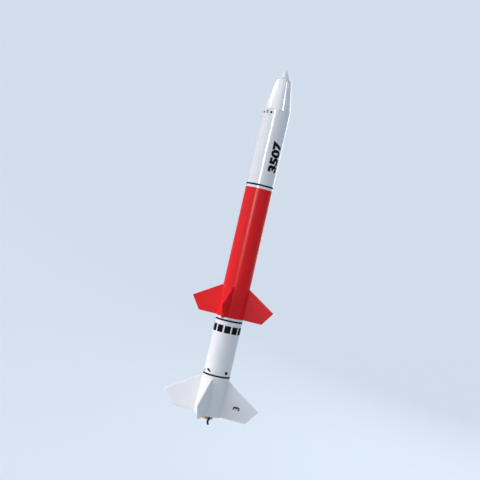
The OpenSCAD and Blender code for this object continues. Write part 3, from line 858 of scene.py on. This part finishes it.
cord_turn = math.radians(40)
mount_low, mount_high = (corner.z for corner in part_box("shock_cord_mount"))
mount_r, ply = bore_r - 2e-5, 0.0005
mount_paper = Finish("mount_paper")
mount_fibre = mount_paper.noise(0.0007, 5)
mount_glue = mount_paper.step(mount_paper.noise(0.006, 3), 0.48, 0.66)
mount_paper.surface(mount_paper.tint((0.74, 0.73, 0.70), (0.60, 0.585, 0.54),
                                     mount_glue * 0.6 + mount_fibre * 0.3),
                    0.82 - 0.3 * mount_glue, mount_fibre, 4e-5)


plies = [patch(box_loop(40 + lean, (mount_low + mount_high) / 2,
                        math.radians(39.5 - trim) * tube_r,
                        mount_high - mount_low - 3e-4 * trim, 8e-4),
               mount_r - (count + 1) * ply + 2e-5, mount_r - count * ply, 9)
         for count, (lean, trim) in enumerate([(0, 0), (0.8, 2.2), (-0.6, 3.4)])]
cord_mount = made("cord_mount_paper", plies, mount_paper.material, 50)
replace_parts(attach(cord_mount, "airframe"), "shock_cord_mount")

# ---------------------------------------------------------------------------------------
# Shock cord: 3 mm flat elastic. It leaves its mount, lies folded to and fro against the
# bore in sixteen layers, and is knotted through the nose's eyelet. The share of the cord's
# own length at each of its points is worked out.
# ---------------------------------------------------------------------------------------

cord_width, cord_gauge, layers, layer_rise = 0.0029, 0.00078, 16, 0.0012
layer_stagger, layer_gap, bar_past = 0.0005, 3e-4, 0.0022
layer_r, lead_r, half_sweep = 0.01835, 0.0194, 0.0138
lead_turn, bar_turn = 0.0012, 0.0020
eyelet_gauge, eyelet_z = 0.0024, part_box("nose_base")[0].z + 0.004
stack_low = eyelet_z - (layers - 1) * layer_rise
cord_out, cord_beside = bearings(cord_turn)


def lengths_along(path):
    """How far each point of a path lies along it from its first."""
    steps = np.linalg.norm(np.diff(path, axis=0), axis=1)
    return np.concatenate([[0], np.cumsum(steps)])


def run_of(arc, z, r, twist):
    """A stretch of the cord's route: its distance round the bore from the cord's middle
    line, its height, its radius, and how far its width is turned from outwards."""
    return np.stack(np.broadcast_arrays(arc, z, r, twist), -1)


rise, quarter = np.linspace(0, 1, 24), np.linspace(0, np.pi / 2, 7)
fold = np.radians(np.linspace(-80, 80, 9))
ease = 3 * rise ** 2 - 2 * rise ** 3
lead_low, lead_high = mount_high - 0.004, stack_low - lead_turn
runs = [run_of(0, lead_low + (lead_high - lead_low) * rise,
               lead_r + (layer_r - lead_r) * ease, np.pi / 2 * (1 - ease)),
        run_of(lead_turn * (1 - np.cos(quarter)), lead_high + lead_turn * np.sin(quarter),
               layer_r, 0)]
for layer in range(layers):
    hand, z = (1, -1)[layer % 2], stack_low + layer * layer_rise
    reach = half_sweep - layer_rise / 2 - layer_stagger * (layer * 5 % 4) / 3
    start = lead_turn + layer_gap if layer == 0 else runs[-1][-1, 0] + hand * layer_gap
    stop = bar_turn if layer == layers - 1 else hand * reach
    runs.append(run_of(start + (stop - start) * np.linspace(0, 1, 36), z, layer_r, 0))
    if layer < layers - 1:
        runs.append(run_of(stop + hand * layer_rise / 2 * np.cos(fold),
                           z + layer_rise / 2 * (1 + np.sin(fold)), layer_r, 0))
arc, z, r, twist = np.concatenate(runs).T
turn = cord_turn + arc / layer_r
outward, sideways = bearings(turn)
cord_path = outward * r[:, None] + upright * z[:, None]
cord_side = outward * np.cos(twist)[:, None] + sideways * np.sin(twist)[:, None]
bar = np.linspace(0, 1, 26)[1:, None]
bar_path = np.concatenate([
    (layer_r - bar_turn * (1 - np.cos(quarter[1:, None]))) * cord_out
    + bar_turn * (1 - np.sin(quarter[1:, None])) * cord_beside,
    (layer_r - bar_turn - bar * (layer_r - bar_turn + bar_past)) * cord_out]) + eyelet_z * upright
bar_side = np.concatenate([
    np.cos(quarter[1:, None]) * cord_out - np.sin(quarter[1:, None]) * cord_beside,
    -cord_beside + 0 * bar])
folded_end = len(cord_path)
cord_path = np.concatenate([cord_path, bar_path])
cord_side = np.concatenate([cord_side, bar_side])
cord_run = lengths_along(cord_path)

knot_loop, knot_thick, knot_reach = 0.00105, 0.00095, 0.0022
knot_turn, knot_ring = np.meshgrid(np.linspace(0, 2 * np.pi, 90, endpoint=False),
                                   np.linspace(0, 2 * np.pi, 12, endpoint=False))
knot_swell = knot_thick * (1 + 0.1 * np.sin(3 * knot_turn))
knot_wide = knot_loop + 0.00022 * np.cos(3 * knot_turn) + knot_swell * np.cos(knot_ring)
knot_grid = (knot_wide[..., None] * (np.cos(2 * knot_turn)[..., None] * cord_beside
                                     + np.sin(2 * knot_turn)[..., None] * upright)
             + (0.00055 * np.sin(3 * knot_turn) + knot_swell * np.sin(knot_ring))[..., None]
             * cord_out)
knot_points, knot_quads = shell(knot_grid, True)
knot_place = eyelet_z * upright - (eyelet_gauge / 2 + 0.0016) * cord_out

ribs, pick_pitch = 6, 0.0007
elastic = Finish("cord_elastic")
cord_along, cord_over = elastic.kept("along"), elastic.kept("over")
rib = elastic.wave(cord_over * (2 * math.pi * ribs / cord_width))
pick = elastic.wave(cord_along * (2 * math.pi / pick_pitch))
cord_soil = elastic.noise(0.008, 3)
# The cord's colour is darker in the grooves between its ribs and between its picks, which is
# painted shade; the soil blots on it are real dirt.
elastic.surface(elastic.tint(elastic.tint((0.80, 0.79, 0.75), (0.60, 0.58, 0.53), cord_soil),
                             (0.45, 0.43, 0.39), (1 - rib) * 0.5 + (1 - pick) * 0.2),
                0.78 + 0.15 * rib, rib * 0.7 + rib * pick * 0.5, 9e-5)

band_outline = strip_section(cord_width, cord_gauge, 0.0003, 4)
cord_grid = carried(cord_path, cord_side, band_outline)
along = np.repeat(np.concatenate([cord_run[:1], cord_run, cord_run[-1:]]), len(band_outline))
over = np.tile(band_outline[:, 0], len(cord_path) + 2)
cord = made("shock_cord_elastic", [cord_grid, (knot_points + knot_place, knot_quads)],
            elastic.material, 50,
            along=np.concatenate([along, cord_run[-1] + 0 * knot_grid[..., 0].ravel()]),
            over=np.concatenate([over, 0.0014 * np.cos(knot_ring).ravel()]))
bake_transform(cord)
length = np.zeros(len(cord.data.vertices), np.float32)
cord.data.attributes["along"].data.foreach_get("value", length)
share = (length - cord_run[24]) / (cord_run[folded_end - 1] - cord_run[24])
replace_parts(cord, "shock_cord")

# ---------------------------------------------------------------------------------------
# Recovery wadding: squares of flameproof tissue, crumpled and pushed loosely into the
# tube between the motor and the parachute.
# ---------------------------------------------------------------------------------------

wadding_low, wadding_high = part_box("recovery_wadding")
wadding_r, wadding_round, crumple_depth = wadding_high.x, 0.007, 0.0052


def barrel(rows, cols, radius, low, high, rounding):
    """A barrel with rounded rims: directions (rows, cols, 3) out from its middle line, and
    its points. Rows go from the middle of its foot, up its side, to the middle of its top."""
    corner = np.radians(np.linspace(-90, 0, 14))
    rim = [radius - rounding, low + rounding] + rounding * circle(corner)
    side = np.concatenate([[[0, low]], rim, rim[::-1] * [1, -1] + [0, low + high],
                           [[0, high]]])
    run = lengths_along(side)
    even = np.linspace(0, run[-1], rows)
    r, z = np.interp(even, run, side[:, 0]), np.interp(even, run, side[:, 1])
    turn = np.linspace(0, 2 * np.pi, cols, endpoint=False)
    points = spun(r[:, None], turn, z[:, None])
    slope_r, slope_z = np.gradient(r), np.gradient(z)
    size = np.hypot(slope_r, slope_z)
    return points, spun((slope_z / size)[:, None], turn, (-slope_r / size)[:, None])


def creases(points, seed, folds, wavelength):
    """Crumpling, from 0 to about 1: a sum of triangle waves along random directions, whose
    sharp turns are the creases, each direction finer and shallower than the one before."""
    draw = np.random.default_rng(seed)
    ways = draw.normal(size=(folds, 3))
    ways /= np.linalg.norm(ways, axis=1, keepdims=True)
    waves = wavelength * 0.82 ** np.arange(folds)
    depth = 0.86 ** np.arange(folds)
    phase = points @ (ways / waves[:, None]).T + draw.uniform(size=folds)
    return (np.abs(phase % 1 - 0.5) * 2 * depth).sum(-1) / depth.sum()


tissue = Finish("wadding_tissue")
tissue_fibre = tissue.noise(0.0006, 6, rough=0.7)
tissue_blot = tissue.noise(0.008, 3)
tissue.surface(tissue.tint((0.78, 0.70, 0.52), (0.88, 0.82, 0.68),
                           tissue_fibre * 0.5 + tissue_blot * 0.5),
               0.9, tissue_fibre, 6e-5)
points, out = barrel(170, 230, wadding_r, wadding_low.z, wadding_high.z, wadding_round)
points = points - out * (crumple_depth * creases(points, 5, 9, 0.017)[..., None])
wadding = made("wadding_wad", [shell(points)], tissue.material, 24)
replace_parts(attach(wadding, "wadding"), "recovery_wadding")

# ---------------------------------------------------------------------------------------
# Parachute: an orange plastic sheet, gathered to a spike, folded lengthwise and packed.
# Six thread lines run from its rim, knotted together under the nose's eyelet.
# ---------------------------------------------------------------------------------------

chute_low, chute_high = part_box("parachute_canopy")
chute_r, chute_round, pleats = chute_high.x, 0.006, 9
pleat_depth, fold_depth, crush_depth = 0.0030, 0.0010, 0.0014
film_sheet = Finish("chute_film")
film_crush = film_sheet.noise(0.0045, 5, (1, 1, 2.2), 0.62)
film_shade = film_sheet.noise(0.012, 2, (1, 1, 2))
film_sheet.surface(film_sheet.tint((0.80, 0.13, 0.02), (0.92, 0.27, 0.05),
                                   film_crush * 0.6 + film_shade * 0.4),
                   0.26 + 0.22 * film_crush, film_crush, 4.5e-4)
points, out = barrel(230, 300, chute_r, chute_low.z, chute_high.z, chute_round)
turn = np.arctan2(points[..., 1], points[..., 0])
lift = (points[..., 2] - chute_low.z) / (chute_high.z - chute_low.z)
wander = 0.55 * np.sin(2.2 * lift * np.pi + 1.0) + 0.25 * np.sin(5.3 * lift * np.pi)
pleat = np.abs(np.sin(pleats / 2 * (turn + wander) + 0.6 * np.sin(turn * 2))) ** 0.55
narrow = np.abs(np.sin(11 * (turn + 0.6 * wander) + 2.0 * np.sin(3 * turn))) ** 0.7
gather = 1 + 1.1 * np.clip((lift - 0.90) / 0.10, 0, 1) + 0.8 * np.clip((0.06 - lift) / 0.06, 0, 1)
depth = (pleat_depth * (1 - pleat) + fold_depth * (1 - narrow)) * gather \
    + crush_depth * creases(points, 11, 8, 0.015)
points = points - out * depth[..., None] * np.clip(np.hypot(*points[..., :2].T).T / 0.004,
                                                   0, 1)[..., None]
canopy = made("parachute_bundle", [shell(points)], film_sheet.material, 40)
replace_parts(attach(canopy, "parachute"), "parachute_canopy")

lines_low, lines_high = (corner.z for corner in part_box("shroud_lines"))
line_r, foot_r, line_gap, line_knot_r = 0.00036, 0.0053, 0.0004, 0.0017
thread_plies, ply_pitch, line_length = 3, 0.0021, 0.0125
thread = Finish("line_thread")
thread_along, thread_over = thread.kept("along"), thread.kept("over")
ply_wave = thread.wave((thread_over / (2 * math.pi) * thread_plies + thread_along / ply_pitch)
                       * (2 * math.pi))
thread_fuzz = thread.noise(0.0004, 4)
# The thread's colour is darker in the grooves between its plies, which is painted shade; the fuzz
# is the thread's own fibre.
thread.surface(thread.tint((0.62, 0.61, 0.58), (0.86, 0.855, 0.83),
                           ply_wave * 0.7 + thread_fuzz * 0.3), 0.85,
               ply_wave + thread_fuzz * 0.4, 1.2e-4)
thread_turn = np.radians(np.arange(0, 360, 36))
thread_ring = line_r * circle(thread_turn)
strands, strand_along, strand_over = [], [], []
rise = np.linspace(0, 1, 60)[:, None]
for line in range(6):
    out, beside = bearings(math.radians(60 * line))
    foot, top = lines_low - 0.004, lines_high - 2 * line_knot_r + 0.0006
    path = (out * (foot_r * (1 - rise) ** 0.8 + line_gap)
            + beside * line_gap * np.sin(rise * np.pi * 2 + line)
            + upright * (foot + (top - foot) * rise))
    strands.append(carried(path, beside, thread_ring))
    strand_along.append(np.repeat(np.concatenate([[0], rise[:, 0], [1]]) * line_length,
                                  len(thread_ring)))
    strand_over.append(np.tile(thread_turn, len(path) + 2))
hitch = knot_points * (line_knot_r / knot_reach)
strands.append((hitch + upright * (lines_high - line_knot_r - 1e-4), knot_quads))
strand_along.append(line_length + 0 * hitch[:, 0])
strand_over.append(knot_ring.ravel())
lines = made("shroud_line_threads", strands, thread.material, 60,
             along=np.concatenate(strand_along), over=np.concatenate(strand_over))
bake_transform(lines)
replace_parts(lines, "shroud_lines")

# ---------------------------------------------------------------------------------------
# Nose: two mouldings in gloss white plastic. The base has a shoulder that slides in the
# tube, an eyelet under its floor for the cord, and a plug that the hollow cone fits over.
# ---------------------------------------------------------------------------------------

nose_z, nose_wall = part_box("nose_cone")[0].z, 0.0014
taper_length, taper_r, taper_bow = 0.0474, 0.0119, 0.0002
tip_length, knee_rise, knee_r, tip_r = 0.0177, 0.005, 0.0077, 0.0019


def taper_radius(share):
    """The long taper's radius: a straight line from the tube's to the taper's end, bowed
    outwards by a parabola that is `taper_bow` high in the middle."""
    return tube_r + (taper_r - tube_r) * share + 4 * taper_bow * share * (1 - share)


def taper_at(share, depth=0):
    """Radius and height at shares of the long taper, a depth inside its surface."""
    return np.stack([taper_radius(share) - depth, nose_z + share * taper_length], -1)


shoulder_r, shoulder_length, base_wall = 0.02017, 0.024, 0.0013
socket_depth, socket_ledge, plug_gap = 0.007, 2e-4, 2e-5
socket_r = taper_radius(socket_depth / taper_length) - nose_wall - socket_ledge

moulding = Finish("nose_plastic")
parting = moulding.step(abs(moulding.x * math.cos(0.9) + moulding.y * math.sin(0.9)),
                        1.3e-4, 0.4e-4)
scuff = moulding.step(moulding.noise(0.004, 6, rough=0.75), 0.62, 0.80)
swirl = moulding.noise(0.022, 3)
moulding.surface(moulding.tint(gloss_white, (0.78, 0.79, 0.81), swirl * 0.3 + scuff * 0.3),
                 0.13 + 0.06 * swirl + 0.10 * scuff,
                 parting + moulding.noise(0.004) * 0.15, 3e-5, Specular_IOR_Level=0.3)

shoulder_low = nose_z - shoulder_length
plug_r = socket_r - plug_gap
base_profile = np.concatenate([[(0, shoulder_low)], eased(
    [(0.008, shoulder_low), (shoulder_r - 0.001, shoulder_low), (shoulder_r, shoulder_low + 0.002),
     (shoulder_r, nose_z - plug_gap), (plug_r, nose_z - plug_gap),
     (plug_r, nose_z + socket_depth - 1e-4), (plug_r - base_wall, nose_z + socket_depth - 1e-4),
     (plug_r - base_wall, shoulder_low + base_wall), (0.008, shoulder_low + base_wall)],
    [6e-4, 6e-4, 2e-4, 1e-4, 3e-4, 3e-4, 1e-3]), [(0, shoulder_low + base_wall)]])

hole_r, loop_r, eyelet_round = 0.0019, 0.0040, 0.0005
bow = np.linspace(0, 2 * np.pi, 72, endpoint=False)
from_top = np.abs((bow + np.pi) % (2 * np.pi) - np.pi)
flare = np.clip((1.35 - from_top) / 0.75, 0, 1)
loop_out = loop_r + 0.0022 * (3 * flare ** 2 - 2 * flare ** 3)
loop_out = np.minimum(loop_out, np.where(np.cos(bow) > 0.3, 0.0046 / np.maximum(
    np.cos(bow), 0.3), 1.0))
section = strip_section(1.0, eyelet_gauge, eyelet_round, 5)
depth = np.where(section[:, :1] > 0, section[:, :1] + eyelet_round, section[:, :1] - eyelet_round)
edge = np.sign(section[:, :1]) * (np.abs(section[:, :1]) - (0.5 - eyelet_round))
radius = np.where(section[:, :1] > 0, loop_out - eyelet_round, hole_r + eyelet_round) + edge
eyelet = (radius[..., None] * (np.sin(bow)[None, :, None] * cord_beside
                               + np.cos(bow)[None, :, None] * upright)
          + section[:, 1][:, None, None] * cord_out + eyelet_z * upright)
base = made("nose_shoulder", [turned(base_profile, 192), shell(eyelet, True)],
            moulding.material, 40)
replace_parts(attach(base, "nose"), "nose_base")

share = np.linspace(0, 0.97, 36)
tip_slope = math.atan2(knee_r, tip_length - knee_rise)
tip_bow = np.linspace(tip_slope, np.pi / 2, 10)
taper_top, nose_top = nose_z + taper_length, nose_z + taper_length + tip_length
bottom = eased([(socket_r, nose_z + 2e-3), (socket_r, nose_z), (tube_r, nose_z),
                taper_at(0.02)], [3e-4, 3e-4])
tip_sides = eased([taper_at(0.97), (taper_r, taper_top), (knee_r, taper_top + knee_rise),
                   (tip_r * math.cos(tip_slope), nose_top - tip_r * (1 - math.sin(tip_slope)))],
                  [7e-4, 1.6e-3])[:-1]
inner = np.linspace(1, socket_depth / taper_length, 12)
cone_profile = np.concatenate([
    [(0, taper_top + tip_length / 2)],
    taper_at(inner, nose_wall), [(socket_r, nose_z + socket_depth)], bottom,
    taper_at(share[2:-1]), tip_sides,
    [0, nose_top - tip_r] + tip_r * circle(tip_bow)])
cone_profile[-1, 0] = 0
cone = made("nose_cone_shell", [turned(cone_profile, 256)], moulding.material, 30)
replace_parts(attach(cone, "nose"), "nose_cone")
